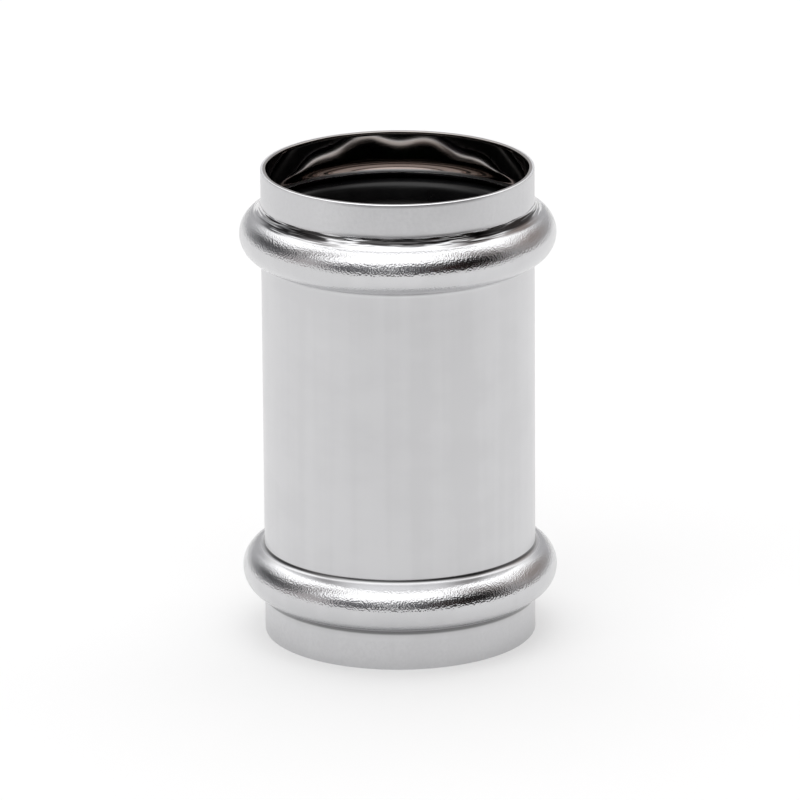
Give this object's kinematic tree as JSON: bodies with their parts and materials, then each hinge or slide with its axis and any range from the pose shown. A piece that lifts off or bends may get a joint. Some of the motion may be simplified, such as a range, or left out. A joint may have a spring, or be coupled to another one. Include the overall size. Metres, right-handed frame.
{
  "type": "press slip coupling",
  "caption": "Large thin-walled metal press coupling: a plain through tube with a rolled bead near each end, and a loose rubber seal ring inside each bead.",
  "frame": {"origin": "centre of the lower rim, in the plane it stands on", "axes": "+Z along the tube's axis, from the lower rim to the upper rim; X and Y are free, as the part is round"},
  "size_m": [0.1308, 0.1308, 0.199],
  "materials": {
    "bright_metal": "bright satin outside, shinier on the beads, near mirror inside",
    "black_rubber": "smooth moulded rubber with a soft sheen"
  },
  "bodies": {
    "shell": {"coupling_shell": "bright_metal"},
    "upper_ring": {"upper_seal_ring": "black_rubber"},
    "lower_ring": {"lower_seal_ring": "black_rubber"}
  },
  "joints": [
    {"name": "upper_ring_turn", "type": "hinge", "parent": "shell", "child": "upper_ring", "pos_m": [0, 0, 0.1715], "axis": [0, 0, 1], "continuous": true},
    {"name": "lower_ring_turn", "type": "hinge", "parent": "shell", "child": "lower_ring", "pos_m": [0, 0, 0.0275], "axis": [0, 0, 1], "continuous": true}
  ]
}
